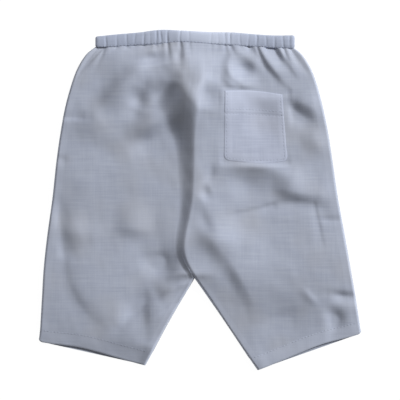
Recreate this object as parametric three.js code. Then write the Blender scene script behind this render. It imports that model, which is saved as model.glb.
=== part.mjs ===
// Baby trousers in pale blue-grey linen, laid flat on their front with the seat uppermost.
// Each leg has a back panel and a front panel. A gathered elastic casing closes the waist, the
// leg openings have turned-up hems, and one patch pocket sits on the right of the seat.
// Millimetres. X runs to the right as seen from above, Y towards the waist and Z up from the
// surface. The origin is the middle of the outline, on the surface.
import * as THREE from "three";

// Cloth, and the gaps that part one piece from the next.
const CLOTH = 1.2;
const FRONT_CLOTH = 1.0;
const HEM_CLOTH = 1.8;
const GAP = 0.3;
const REST = FRONT_CLOTH + GAP; // the underside of the upper layer where it touches the lower one

// The whole garment: half its width across the hems, and half its length.
const HALF_WIDTH = 161;
const HALF_LENGTH = 170;

// The elastic casing.
const BAND_THICK = 2.7;
const BAND_EDGE = 1.3; // its thickness at the pressed top edge and at the stitched lower edge
const BAND_END = 3.5; // how far in from each side seam the band rounds over
const GATHER_WIDTH = 1.7;

// The upper layer comes down to the lower one at its edges: a short roll at the edge itself, then
// a long slope. rolled is the roll's share of the height.
const SIDE_EDGE = { roll: 4, slope: 28, rolled: 0.35 };
const INSEAM_EDGE = { roll: 4, slope: 20, rolled: 0.5 };
const SHALLOW = 1.5;
const CREST_FROM_SEAM = 2; // the crest of the seat's ridge lies this far right of the seam

// Leg openings: the back hem bows up and shows the inside of the front hem below it.
const HEM_BOW = 3.2;
const HEM_BOW_AT = 0.4; // as a share of the opening, from the side seam

const LINEN = "#aab1c2";
const BAND_LINEN = "#a6acc0";

// Cross-sections of each leg, from the casing down to the hem. out is the point on the side seam,
// in is the point on the centre-back seam, or on the inseam from the crotch down. puff is how high
// the upper layer stands off the lower one. The seat seam stands up as a ridge, and flank is how
// wide its slope is on that leg.
const CROTCH = 8;
const ROWS = [4, 4, 4, 4, 4, 4, 6, 4, 5, 5]; // rows of the back panels from each section to the next
const LEFT_SECTIONS = [
  { at: "waist", outX: -104.5, outY: 152.9, inX: -4, inY: 157, puff: 2.2, ridge: 0, flank: 14 },
  { at: "gathers", outX: -114.5, outY: 144.5, inX: -3, inY: 143, puff: 4.2, ridge: 0.5, flank: 14 },
  { at: "high hip", outX: -124.5, outY: 127, inX: -3, inY: 119, puff: 4.6, ridge: 5, flank: 17 },
  { at: "hip", outX: -133.5, outY: 98, inX: -6.5, inY: 96, puff: 4.2, ridge: 10, flank: 17 },
  { at: "seat", outX: -139, outY: 70, inX: -10, inY: 63, puff: 4, ridge: 8, flank: 10.5 },
  { at: "low seat", outX: -143.6, outY: 38, inX: -11, inY: 30, puff: 3.8, ridge: 6, flank: 7.5 },
  { at: "thigh", outX: -147.6, outY: 1, inX: -12.5, inY: -4, puff: 3.8, ridge: 5.5, flank: 7 },
  { at: "low thigh", outX: -152.6, outY: -35, inX: -18.5, inY: -50, puff: 3.6, ridge: 5, flank: 7.5 },
  { at: "crotch", outX: -156.2, outY: -68, inX: -5.4, inY: -78, puff: 3.4, ridge: 0.8, flank: 6 },
  { at: "knee", outX: -158, outY: -98, inX: -28.5, inY: -117, puff: 3, ridge: 0, flank: 6 },
  { at: "hem seam", outX: -159.8, outY: -129, inX: -47, inY: -151.5, puff: 2, ridge: 0, flank: 6 },
];
const LEFT_HEM = { outX: -HALF_WIDTH, outY: -141.5, inX: -54.5, inY: -165.2, puff: 1.6 };
const RIGHT_SECTIONS = [
  { at: "waist", outX: 94.5, outY: 151.6, inX: -4, inY: 157, puff: 2.2, ridge: 0, flank: 14 },
  { at: "gathers", outX: 103.6, outY: 143.2, inX: -3, inY: 143, puff: 4.2, ridge: 0.5, flank: 16 },
  { at: "high hip", outX: 113.4, outY: 125.4, inX: -3, inY: 119, puff: 4.6, ridge: 5, flank: 20 },
  { at: "hip", outX: 121.8, outY: 97, inX: -6.5, inY: 96, puff: 4.2, ridge: 10, flank: 22 },
  { at: "seat", outX: 128, outY: 68, inX: -10, inY: 63, puff: 4, ridge: 8, flank: 18 },
  { at: "low seat", outX: 132.8, outY: 37, inX: -11, inY: 30, puff: 3.8, ridge: 6, flank: 18 },
  { at: "thigh", outX: 137.6, outY: 4, inX: -12.5, inY: -4, puff: 3.8, ridge: 5.5, flank: 16 },
  { at: "low thigh", outX: 144, outY: -31, inX: -18.5, inY: -50, puff: 3.6, ridge: 5, flank: 14 },
  { at: "crotch", outX: 149.9, outY: -64, inX: -5.4, inY: -78, puff: 3.4, ridge: 0.8, flank: 8 },
  { at: "knee", outX: 154.9, outY: -93, inX: 21.8, inY: -117, puff: 3, ridge: 0, flank: 6 },
  { at: "hem seam", outX: 159.2, outY: -121, inX: 49.3, inY: -158.2, puff: 2, ridge: 0, flank: 6 },
];
const RIGHT_HEM = { outX: HALF_WIDTH, outY: -133.4, inX: 57.5, inY: -HALF_LENGTH, puff: 1.6 };

// The casing's lower and upper edges, at places across the waist. It peaks left of the middle.
const BAND_LINE = [
  { x: -104.5, low: 153.2, top: 163.5 },
  { x: -82, low: 153.8, top: 165.6 },
  { x: -61, low: 155.3, top: 167.4 },
  { x: -40, low: 156.6, top: HALF_LENGTH },
  { x: -19, low: 158, top: 169.3 },
  { x: 9, low: 156.4, top: 167.8 },
  { x: 32, low: 155.1, top: 167.4 },
  { x: 53, low: 153.7, top: 165.7 },
  { x: 74, low: 152.4, top: 164.4 },
  { x: 94.5, low: 151.9, top: 164.6 },
];

// Gathers of the waist: where each pleat is pinched in the casing, how deep, how far it runs
// down the seat and how far it leans sideways on the way.
const GATHERS = [
  { x: -94, deep: 1, reach: 34, lean: -16 },
  { x: -83, deep: 0.9, reach: 16, lean: -3 },
  { x: -73, deep: 1, reach: 20, lean: 2 },
  { x: -65, deep: 0.6, reach: 10, lean: 0 },
  { x: -56, deep: 1, reach: 14, lean: 2 },
  { x: -50, deep: 0.7, reach: 16, lean: 0 },
  { x: -43.5, deep: 1.3, reach: 22, lean: 2 },
  { x: -39, deep: 1, reach: 14, lean: 0 },
  { x: -32.5, deep: 1.5, reach: 30, lean: 3 },
  { x: -20, deep: 1.2, reach: 26, lean: 3 },
  { x: -11, deep: 1, reach: 22, lean: 2 },
  { x: 11, deep: 0.7, reach: 14, lean: 0 },
  { x: 18, deep: 0.6, reach: 12, lean: 0 },
  { x: 25, deep: 0.9, reach: 18, lean: 2 },
  { x: 30, deep: 1.1, reach: 16, lean: 6 },
  { x: 40, deep: 0.6, reach: 10, lean: 4 },
  { x: 48.5, deep: 0.8, reach: 12, lean: 2 },
  { x: 56.7, deep: 1.5, reach: 30, lean: 12 },
  { x: 66, deep: 0.7, reach: 14, lean: 5 },
  { x: 74.5, deep: 1, reach: 18, lean: 8 },
  { x: 83, deep: 1.5, reach: 26, lean: 9 },
  { x: 89.5, deep: 0.9, reach: 20, lean: 10 },
];

// Folds of the upper layer. path is where each begins, passes and ends, and up its height there, or
// its depth where negative. left and right are its half-widths at the start and at the end, on the
// left and on the right of the way it runs.
const FOLDS = [
  { is: "plateau at the waist", path: [[-54, 134], [-30, 128], [-6, 112]],
    up: [0.5, 4.5, 4], left: [24, 24], right: [14, 14] },
  { is: "seat ridge, left", path: [[-44, 142], [-70, 114], [-88, 82]],
    up: [1, 4.6, 2], left: [18, 16], right: [18, 18] },
  { is: "hip hollow, left", path: [[-66, 140], [-90, 112], [-116, 90]],
    up: [0, -2.6, -1], left: [12, 12], right: [12, 12] },
  { is: "seat mound, small", path: [[-42, 112], [-47, 100], [-46, 88]],
    up: [1, 3, 1], left: [9, 9], right: [12, 12] },
  { is: "ridge over the seat hollow", path: [[-80, 74], [-56, 79], [-32, 92]],
    up: [1, 4.6, 3], left: [15, 12], right: [11, 11] },
  { is: "low seat hollow", path: [[-74, 58], [-56, 58], [-40, 66]],
    up: [0, -2, -1], left: [10, 10], right: [14, 14] },
  { is: "hip crease, left", path: [[-135, 80.5], [-118, 80], [-98, 78]],
    up: [-1.4, -1.6, 0], left: [3, 6], right: [4, 8] },
  { is: "gather hollow", path: [[-29, 153], [-30, 146.5], [-31, 140]],
    up: [-1, -3.2, -1], left: [5, 5], right: [5, 5] },
  { is: "gather hollow", path: [[-15, 154], [-15, 145], [-15, 136]],
    up: [-1, -2.6, -1], left: [5, 5], right: [5, 5] },
  { is: "side wrinkle, left", path: [[-96, 154], [-106, 144], [-117, 131]],
    up: [-2.6, -2.2, -0.6], left: [3, 3.4], right: [4, 5] },
  { is: "side fold, left", path: [[-88, 152], [-97, 138], [-101, 126]],
    up: [2, 1.6, 0], left: [5, 7], right: [6, 9] },
  { is: "hip mark, left", path: [[-146, 40], [-138, 39.5], [-130, 39]],
    up: [-1, -1, 0], left: [3, 4], right: [3, 4] },
  { is: "thigh pillow", path: [[-110, 50], [-114, 18], [-113, -14]],
    up: [0, 2.2, 0], left: [15, 15], right: [18, 18] },
  { is: "thigh ridge", path: [[-62, 48], [-66, 18], [-68, -6]],
    up: [0, 2, 0], left: [14, 14], right: [16, 16] },
  { is: "outer trough, left", path: [[-132, 12], [-131, -20], [-127, -44]],
    up: [0, -2.8, -2.6], left: [10, 12], right: [8, 9] },
  { is: "outer shelf, left", path: [[-146, -30], [-130, -31], [-108, -34]],
    up: [1, 2.2, 0], left: [12, 12], right: [7, 7] },
  { is: "thigh shelf", path: [[-96, -24], [-74, -22], [-50, -27]],
    up: [0, 3.4, 0], left: [16, 16], right: [9, 9] },
  { is: "leg pillow, left", path: [[-121, -54], [-108, -96], [-80, -120]],
    up: [1, 4.6, 3], left: [24, 22], right: [11, 12] },
  { is: "leg trough, left", path: [[-131, -54], [-120, -103], [-88, -136]],
    up: [-1, -3, -1], left: [6, 6], right: [8, 8] },
  { is: "leg crease, left", path: [[-86, -134], [-64, -109], [-40, -96]],
    up: [-1, -2.8, -2], left: [4, 5], right: [4, 9] },
  { is: "inner dimple, left", path: [[-54, -98], [-55, -116], [-53, -134]],
    up: [-1, -3, -1], left: [6, 6], right: [7, 7] },
  { is: "hem slope, left", path: [[-78, -138], [-58, -134], [-48, -128]],
    up: [0, 2, 1], left: [10, 10], right: [12, 12] },
  { is: "inner trough, left", path: [[-36, 2], [-35, -26], [-31, -58]],
    up: [0, -2.4, -1.4], left: [8, 8], right: [7, 7] },
  { is: "crotch shade, left", path: [[-62, -50], [-44, -50], [-26, -48]],
    up: [0, 2.6, 1], left: [12, 12], right: [9, 9] },
  { is: "plateau, right", path: [[2, 152], [6, 140], [8, 124]],
    up: [1.5, 3, 3], left: [22, 20], right: [14, 14] },
  { is: "hollow right of the seam", path: [[20, 112], [12, 98], [6, 84]],
    up: [-1, -3, -1], left: [13, 10], right: [12, 12] },
  { is: "pillow rim", path: [[31, 154], [24, 131], [42, 113]],
    up: [1, 4, 2.4], left: [8, 10], right: [5, 6] },
  { is: "dimple over the pocket", path: [[34, 132], [44, 126], [54, 126]],
    up: [-1, -3, -1], left: [8, 8], right: [8, 8] },
  { is: "seat ridge, right", path: [[44, 146], [54, 138], [66, 126]],
    up: [1, 2.4, 1], left: [9, 9], right: [7, 7] },
  { is: "waist fold, valley", path: [[56, 153], [70, 130], [90, 110]],
    up: [-2.6, -3, -1], left: [5, 6], right: [6, 7] },
  { is: "waist fold, crest", path: [[61, 155], [87, 131], [101, 98]],
    up: [2.6, 4, 1], left: [6, 7], right: [7, 8] },
  { is: "second waist fold", path: [[80, 153], [88, 139], [104, 121]],
    up: [-2.4, -2.2, 0], left: [4, 5], right: [4, 5] },
  { is: "hip dimple, right", path: [[84, 112], [89, 102], [92, 94]],
    up: [0, -2.2, 0], left: [8, 8], right: [8, 8] },
  { is: "hip ridge, right", path: [[86, 102], [106, 98], [124, 82]],
    up: [0, 4, 1], left: [14, 12], right: [7, 8] },
  { is: "hip trough, right", path: [[86, 90], [102, 84], [120, 72]],
    up: [0, -2.2, 0], left: [6, 7], right: [10, 10] },
  { is: "hip shade, right", path: [[104, 64], [120, 58], [134, 54]],
    up: [0, 2.6, 1], left: [14, 14], right: [13, 13] },
  { is: "ridge under the pocket", path: [[14, 35], [52, 38], [90, 22]],
    up: [0, 3.6, 2], left: [12, 12], right: [10, 11] },
  { is: "trough under the pocket", path: [[24, 24], [48, 16], [66, 12]],
    up: [0, -2, 0], left: [9, 9], right: [14, 14] },
  { is: "shelf to the side", path: [[68, 18], [92, 12], [116, 12]],
    up: [0, 4.2, 2], left: [16, 16], right: [8, 7] },
  { is: "trough to the side", path: [[68, -7], [92, -3], [120, -8]],
    up: [-1, -2, 0], left: [4.5, 4.5], right: [9, 8] },
  { is: "curl by the seam", path: [[13, 38], [10, 25], [0, 16]],
    up: [0, -1.8, 0], left: [5, 5], right: [4, 4] },
  { is: "knot by the seam", path: [[10, 14], [4, 6], [-2, 2]],
    up: [0, -2, 0], left: [6, 6], right: [5, 5] },
  { is: "thigh pillow, right", path: [[30, 10], [28, -10], [36, -30]],
    up: [1, 3, 1], left: [20, 20], right: [22, 22] },
  { is: "curve to the crotch", path: [[1, 0], [5, -22], [18, -40]],
    up: [0, -1.8, 0], left: [6, 6], right: [6, 6] },
  { is: "crotch shelf", path: [[2, -34], [22, -36], [44, -42]],
    up: [1, 2.6, 0], left: [12, 12], right: [8, 8] },
  { is: "crotch trough", path: [[2, -40], [29, -74], [46, -122]],
    up: [-1.5, -2.6, -1], left: [7, 8], right: [7, 7] },
  { is: "thigh shoulder", path: [[16, -34], [43, -70], [58, -114]],
    up: [1, 3.8, 1.5], left: [26, 24], right: [9, 11] },
  { is: "inner leg ridge", path: [[-4, -54], [22, -82], [44, -126]],
    up: [0.6, 1.2, 0.6], left: [6, 6], right: [6, 6] },
  { is: "knee ridge, right", path: [[44, -86], [82, -94], [120, -104]],
    up: [0, 3.4, 1], left: [18, 16], right: [11, 10] },
  { is: "knee trough, right", path: [[50, -122], [78, -122], [110, -114]],
    up: [0, -2, 0], left: [10, 10], right: [12, 12] },
  { is: "knee line, right", path: [[98, -84], [109, -96], [120, -108]],
    up: [0, 1.2, 0], left: [3.4, 3.4], right: [5, 5] },
  { is: "side dimple, right", path: [[132, -108], [146, -116], [144, -136]],
    up: [0, -1.9, 0], left: [5, 5], right: [5, 5] },
];
const POCKET_FOLDS = [
  { is: "pocket mouth hollow", path: [[40, 92], [60, 91], [84, 90]],
    up: [0, -1.3, 0], left: [9, 9], right: [9, 9] },
  { is: "pocket sag", path: [[34, 54], [38, 67], [42, 80]],
    up: [0, 1.2, 0], left: [16, 16], right: [18, 18] },
];

// The patch pocket: its four corners, clockwise from the mouth's left end, and its hem.
const POCKET = {
  left: { topX: 25, topY: 108.6, lowX: 24, lowY: 40 },
  right: { topX: 82, topY: 105.2, lowX: 87.2, lowY: 38.6 },
};
const POCKET_CLOTH = 1.2;
const POCKET_HEM_EXTRA = 0.5;
const POCKET_HEM = 22; // depth of the turned hem along the mouth
const POCKET_CORNER = 5;
const POCKET_BOW = 2;
const POCKET_GAP = 0.6; // the mouth and the lines of stitching hold it this close to the seat
const POCKET_CALM = 12; // the pocket stiffens the cloth round it, so folds die out this far away

const smooth = (t) => {
  const s = THREE.MathUtils.clamp(t, 0, 1);
  return s * s * (3 - 2 * s);
};

// A quarter of an ellipse: 0 at the edge, 1 from the roll's radius inwards.
const roll = (distance, radius) => {
  const s = 1 - THREE.MathUtils.clamp(distance / radius, 0, 1);
  return Math.sqrt(1 - s * s);
};

// Height that a fold adds at a point: a soft bank on each side of a bowed line, with round ends.
function foldHeight(fold, x, y) {
  const [start, middle, end] = fold.path;
  const dx = end[0] - start[0];
  const dy = end[1] - start[1];
  const length = Math.hypot(dx, dy);
  const along = (p) => ((p[0] - start[0]) * dx + (p[1] - start[1]) * dy) / length;
  const beside = (p) => ((p[1] - start[1]) * dx - (p[0] - start[0]) * dy) / length;
  const t = THREE.MathUtils.clamp(along([x, y]) / length, 0, 1);
  const side = beside([x, y]) - beside(middle) * 4 * t * (1 - t);
  const left = THREE.MathUtils.lerp(...fold.left, t);
  const right = THREE.MathUtils.lerp(...fold.right, t);
  const across = side / (side > 0 ? left : right);
  const past = ((along([x, y]) - t * length) * 2) / (left + right);
  const [first, second, third] = fold.up;
  const half = t < 0.5 ? [first, second, smooth(2 * t)] : [second, third, smooth(2 * t - 1)];
  const up = THREE.MathUtils.lerp(...half);
  return up * Math.exp(-across * across - past * past);
}

// How far the upper layer has risen at a distance from an edge where it meets the lower one.
const risen = (distance, edge) =>
  edge.rolled * roll(distance, edge.roll) + (1 - edge.rolled) * smooth(distance / edge.slope);

// Height that the gathers add at a point of the seat, below the casing.
function gatherHeight(x, below) {
  let height = 0;
  for (const pleat of GATHERS) {
    const run = below / pleat.reach;
    if (run >= 1) continue;
    const width = GATHER_WIDTH * (1 + 1.5 * run);
    const side = (x - pleat.x - pleat.lean * run) / width;
    height -= 1.1 * pleat.deep * (1 - smooth(run)) * Math.exp(-side * side);
  }
  return height;
}

// How much the pocket calms the folds at a point: 0 under it, 1 well away from it.
function awayFromPocket(x, y) {
  const { left, right } = POCKET;
  const dx = Math.max(left.lowX - x, x - right.lowX, 0);
  const dy = Math.max(right.lowY - y, y - left.topY, 0);
  return smooth(Math.hypot(dx, dy) / POCKET_CALM);
}

// The cross-sections of one back leg as smooth curves, with a corner at the crotch.
function leg(sections) {
  const last = sections.length - 1;
  const curve = (rows, a, b) => new THREE.SplineCurve(rows.map((r) => new THREE.Vector2(r[a], r[b])));
  const outer = curve(sections, "outX", "outY");
  const seat = curve(sections.slice(0, CROTCH + 1), "inX", "inY");
  const inseam = curve(sections.slice(CROTCH), "inX", "inY");
  const shape = curve(sections, "puff", "ridge");
  const slope = curve(sections, "flank", "flank");
  return {
    outer: (v) => outer.getPoint(v),
    inner: (v) => {
      const at = v * last;
      return at <= CROTCH ? seat.getPoint(at / CROTCH) : inseam.getPoint((at - CROTCH) / (last - CROTCH));
    },
    puff: (v) => shape.getPoint(v).x,
    ridge: (v) => Math.max(shape.getPoint(v).y, 0),
    flank: (v) => slope.getPoint(v).x,
    isSeat: (v) => v * last <= CROTCH,
    pastSeat: (v) => smooth(v * last - CROTCH + 1),
  };
}
const LEFT = leg(LEFT_SECTIONS);
const RIGHT = leg(RIGHT_SECTIONS);

// The bow of the back hem at a place across the opening, 0 at the side seam and 1 at the inseam.
function hemBow(across) {
  const s = across < HEM_BOW_AT ? across / HEM_BOW_AT : (1 - across) / (1 - HEM_BOW_AT);
  return HEM_BOW * smooth(s);
}

// A point in plan on a leg: across from the side seam to the inner seam, v down to the hem seam.
// The top row follows the casing, and a bowed leg follows the bow of its hem.
function legPlan(side, across, v, isBowed) {
  const p = side.outer(v).lerp(side.inner(v), across);
  const top = side.outer(0).lerp(side.inner(0), across);
  p.y += (bandEdge(top.x).low - GAP - top.y) * (1 - smooth(v / 0.12));
  if (isBowed) p.y += hemBow(across) * smooth((v - 0.8) / 0.2);
  return p;
}

// Height of the back's upper face at a point of a leg.
function backHeight(isRight, across, v) {
  const side = isRight ? RIGHT : LEFT;
  const outer = side.outer(v);
  const inner = side.inner(v);
  const p = legPlan(side, across, v, true);
  const width = outer.distanceTo(inner);
  const fromSide = across * width;
  const fromInner = (1 - across) * width;
  const below = Math.max(bandEdge(p.x).low - p.y, 0);
  const sum = (folds) => folds.reduce((total, fold) => total + foldHeight(fold, p.x, p.y), 0);
  const folded = sum(FOLDS) * awayFromPocket(p.x, p.y) + sum(POCKET_FOLDS) + gatherHeight(p.x, below);
  // The cloth can't sink into the layer below, so a deep trough flattens out on it.
  const wanted = side.puff(v) + folded;
  const resting = wanted > SHALLOW ? wanted : SHALLOW * Math.exp(wanted / SHALLOW - 1);
  const inseam = THREE.MathUtils.lerp(1, risen(fromInner, INSEAM_EDGE), side.pastSeat(v));
  const off = (fromInner - (isRight ? CREST_FROM_SEAM : 0)) / side.flank(v);
  const ridge = side.ridge(v) * Math.exp(-off * off);
  return REST + CLOTH + risen(fromSide, SIDE_EDGE) * inseam * (resting + ridge);
}

// Edges of the casing at a place across the waist, as smooth curves through its line.
const bandCurve = (key) => new THREE.SplineCurve(BAND_LINE.map((row, n) => new THREE.Vector2(n, row[key])));
const BAND_LOW = bandCurve("low");
const BAND_TOP = bandCurve("top");
function bandEdge(x) {
  const last = BAND_LINE.length - 1;
  const found = BAND_LINE.findIndex((row) => row.x > x);
  const n = found < 0 ? last : Math.max(1, found);
  const t = (x - BAND_LINE[n - 1].x) / (BAND_LINE[n].x - BAND_LINE[n - 1].x);
  const at = THREE.MathUtils.clamp((n - 1 + t) / last, 0, 1);
  return { low: BAND_LOW.getPoint(at).y, top: BAND_TOP.getPoint(at).y };
}

// Evenly spaced shares from 0 to 1, and shares that crowd towards both ends.
const even = (count) => Array.from({ length: count + 1 }, (_, n) => n / count);
const crowded = (count) => even(count).map((t) => (1 - Math.cos(Math.PI * t)) / 2);

// Places down a leg: the given number of equal steps from each section to the next.
const stepped = (counts) =>
  [0].concat(counts.flatMap((count, n) => even(count).slice(1).map((t) => (n + t) / counts.length)));

// A closed sheet of cloth: a flat box of columns and rows, whose corners place() moves. It takes
// the lists of places across and down, from left to right and from the waist down, and place()
// is told whether a corner is on the upper face.
function sheet(name, colour, across, down, place) {
  const columns = across.length - 1;
  const rows = down.length - 1;
  const geometry = new THREE.BoxGeometry(1, 1, 1, columns, rows, 1);
  const at = geometry.getAttribute("position");
  for (let n = 0; n < at.count; n++) {
    const u = across[Math.round((at.getX(n) + 0.5) * columns)];
    const v = down[Math.round((0.5 - at.getY(n)) * rows)];
    const p = place(u, v, at.getZ(n) > 0);
    at.setXYZ(n, p.x, p.y, p.z);
  }
  geometry.computeVertexNormals();
  const material = new THREE.MeshStandardMaterial({ color: colour, roughness: 0.9, metalness: 0 });
  const mesh = new THREE.Mesh(geometry, material);
  mesh.name = name;
  return mesh;
}

// The share of the way from the side seam to the inner seam, for a u that runs left to right.
const acrossOf = (isRight, u) => (isRight ? 1 - u : u);

// Moves a point off the seat seam, so that the two backs lie a seam gap apart.
function offSeam(p, isRight, across, v) {
  const half = (GAP / 2) * (isRight ? 1 : -1) * smooth((across - 0.9) / 0.1);
  return (isRight ? RIGHT : LEFT).isSeat(v) ? p.x + half : p.x;
}

function backPanel(name, isRight, columns, rows) {
  const side = isRight ? RIGHT : LEFT;
  return sheet(name, LINEN, columns, rows, (u, v, isTop) => {
    const across = acrossOf(isRight, u);
    const p = legPlan(side, across, v, true);
    const z = backHeight(isRight, across, v) - (isTop ? 0 : CLOTH);
    return { x: offSeam(p, isRight, across, v), y: p.y, z };
  });
}

function frontPanel(name, isRight, columns, rows) {
  const side = isRight ? RIGHT : LEFT;
  return sheet(name, LINEN, columns, rows, (u, v, isTop) => {
    const across = acrossOf(isRight, u);
    const p = legPlan(side, across, v, false);
    return { x: offSeam(p, isRight, across, v), y: p.y, z: isTop ? FRONT_CLOTH : 0 };
  });
}

// A turned-up hem carries the panel's lower row on to the edge of the leg opening.
function hem(name, isRight, isBack, columns, rows) {
  const side = isRight ? RIGHT : LEFT;
  const edge = isRight ? RIGHT_HEM : LEFT_HEM;
  const outer = new THREE.Vector2(edge.outX, edge.outY);
  const inner = new THREE.Vector2(edge.inX, edge.inY);
  return sheet(name, LINEN, columns, rows, (u, v, isTop) => {
    const across = acrossOf(isRight, u);
    const seam = side.outer(1).lerp(side.inner(1), across);
    const low = outer.clone().lerp(inner, across);
    const reach = seam.distanceTo(low);
    const p = seam.lerp(low, (GAP + v * (reach - GAP)) / reach);
    if (!isBack) return { x: p.x, y: p.y, z: isTop ? FRONT_CLOTH : 0 };
    p.y += hemBow(across);
    const panel = backHeight(isRight, across, 1) - CLOTH - REST;
    const width = side.outer(1).distanceTo(side.inner(1));
    const mouth = edge.puff * risen(across * width, SIDE_EDGE) * risen((1 - across) * width, INSEAM_EDGE);
    const under = REST + THREE.MathUtils.lerp(panel, mouth, v);
    return { x: p.x, y: p.y, z: isTop ? under + HEM_CLOTH : under };
  });
}

// Places across the casing: its rounded ends, the points of its line, and, where it is gathered,
// three at each pleat with one midway to the next.
function bandStations(isGathered) {
  const places = BAND_LINE.map((row) => row.x);
  const [first, last] = [places[0], places[places.length - 1]];
  for (const inward of [BAND_END * 0.3, BAND_END]) places.push(first + inward, last - inward);
  const pleats = isGathered ? GATHERS : [];
  pleats.forEach((pleat, n) => {
    places.push(pleat.x - GATHER_WIDTH * 0.8, pleat.x, pleat.x + GATHER_WIDTH * 0.8);
    if (pleats[n + 1]) places.push((pleat.x + pleats[n + 1].x) / 2);
  });
  places.sort((a, b) => a - b);
  return places.filter((x, n) => n === 0 || x - places[n - 1] > 0.3);
}

// One half of the casing. The back half is puffed and gathered; the front half rests flat.
function band(name, isBack, rows) {
  const stations = bandStations(isBack);
  const [first, last] = [stations[0], stations[stations.length - 1]];
  return sheet(name, BAND_LINEN, stations, rows, (x, v, isTop) => {
    const { low, top } = bandEdge(x);
    const end = roll(Math.min(x - first, last - x), BAND_END);
    const y = THREE.MathUtils.lerp(top, low, v) - (1 - end) * (0.5 - v) * 3;
    const crown = Math.sqrt(Math.max(1 - (2 * v - 1) ** 2, 0));
    const swell = (BAND_THICK - BAND_EDGE) * end;
    const thick = BAND_EDGE + swell * crown;
    if (!isBack) return { x, y, z: isTop ? thick : 0 };
    const pinch = GATHERS.reduce((sum, g) => sum + g.deep * Math.exp(-(((x - g.x) / GATHER_WIDTH) ** 2)), 0);
    const under = BAND_EDGE + swell + GAP;
    return { x, y, z: isTop ? under + thick + (0.5 - 0.8 * pinch) * end : under };
  });
}

// The right back's upper face, read at a point in plan by searching its own grid of sections.
function seatHeight(x, y) {
  let v = 0.5;
  let across = 0.5;
  for (let n = 0; n < 40; n++) {
    const outer = RIGHT.outer(v);
    const inner = RIGHT.inner(v);
    across = THREE.MathUtils.clamp((x - outer.x) / (inner.x - outer.x), 0, 1);
    const miss = THREE.MathUtils.lerp(outer.y, inner.y, across) - y;
    v = THREE.MathUtils.clamp(v + miss / 400, 0, 1);
  }
  return backHeight(true, across, v);
}

// The pocket follows the seat below it. Its lower corners are round and its mouth is bowed.
function pocket(name, columns, rows) {
  const { left, right } = POCKET;
  const depth = left.topY - left.lowY;
  return sheet(name, LINEN, columns, rows, (u, v, isTop) => {
    const topX = THREE.MathUtils.lerp(left.topX, right.topX, u);
    const topY = THREE.MathUtils.lerp(left.topY, right.topY, u) + POCKET_BOW * Math.sin(Math.PI * u);
    const lowX = THREE.MathUtils.lerp(left.lowX, right.lowX, u);
    const fromSide = Math.min(u, 1 - u) * (right.lowX - left.lowX);
    const lowY = THREE.MathUtils.lerp(left.lowY, right.lowY, u) - POCKET_BOW * Math.sin(Math.PI * u);
    const corner = POCKET_CORNER * (1 - roll(fromSide, POCKET_CORNER));
    const x = THREE.MathUtils.lerp(topX, lowX, v);
    const y = THREE.MathUtils.lerp(topY, lowY + corner * smooth((v - 0.8) / 0.2), v);
    const under = seatHeight(x, y) + POCKET_GAP;
    const hemmed = v * depth < POCKET_HEM ? POCKET_HEM_EXTRA : 0;
    return { x, y, z: isTop ? under + POCKET_CLOTH + hemmed : under };
  });
}

const trousers = new THREE.Group();
trousers.add(
  band("waistband_back", true, even(4)),
  band("waistband_front", false, even(4)),
  backPanel("back_left", false, even(32), stepped(ROWS)),
  backPanel("back_right", true, even(32), stepped(ROWS)),
  frontPanel("front_left", false, even(8), even(20)),
  frontPanel("front_right", true, even(8), even(20)),
  hem("hem_back_left", false, true, even(32), even(2)),
  hem("hem_back_right", true, true, even(32), even(2)),
  hem("hem_front_left", false, false, even(8), even(1)),
  hem("hem_front_right", true, false, even(8), even(1)),
  pocket("pocket", crowded(12), even(13)),
);

export default trousers;
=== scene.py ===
# Baby trousers in pale blue-grey linen, laid flat on their front with the seat uppermost.
# The sections follow the sewing: front legs, back legs, turned hems, patch pocket, gathered
# elastic casing and then the stitching. Sizes are millimetres until a piece is laid out in metres.
import bpy
import bmesh
import numpy as np
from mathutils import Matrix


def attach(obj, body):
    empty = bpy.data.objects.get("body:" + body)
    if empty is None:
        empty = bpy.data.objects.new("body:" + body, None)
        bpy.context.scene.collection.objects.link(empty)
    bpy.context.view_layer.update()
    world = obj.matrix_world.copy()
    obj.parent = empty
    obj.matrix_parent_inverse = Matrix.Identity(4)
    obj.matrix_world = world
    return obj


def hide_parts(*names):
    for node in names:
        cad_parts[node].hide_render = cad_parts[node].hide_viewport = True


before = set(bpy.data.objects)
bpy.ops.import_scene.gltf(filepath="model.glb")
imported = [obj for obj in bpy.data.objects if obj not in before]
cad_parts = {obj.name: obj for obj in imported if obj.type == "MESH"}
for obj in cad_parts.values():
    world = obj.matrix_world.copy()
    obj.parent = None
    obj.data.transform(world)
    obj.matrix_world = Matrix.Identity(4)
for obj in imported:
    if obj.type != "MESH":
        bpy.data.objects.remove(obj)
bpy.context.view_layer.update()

# The two front panels are the lower layer. Each is a single layer of plain-woven linen, cut to its
# leg's outline, and lies face down on the surface. The side seam and the inseam join it to a back.
MM = 0.001
FABRIC = 0.6  # thickness of a panel's cloth
GAP = 0.3  # between a panel's top edge and the line of the casing's lower edge
CROTCH = 8  # the section that passes through the crotch point
FRONT_INSET = 0.2  # each front is drawn this far in from its back's side seam
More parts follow.
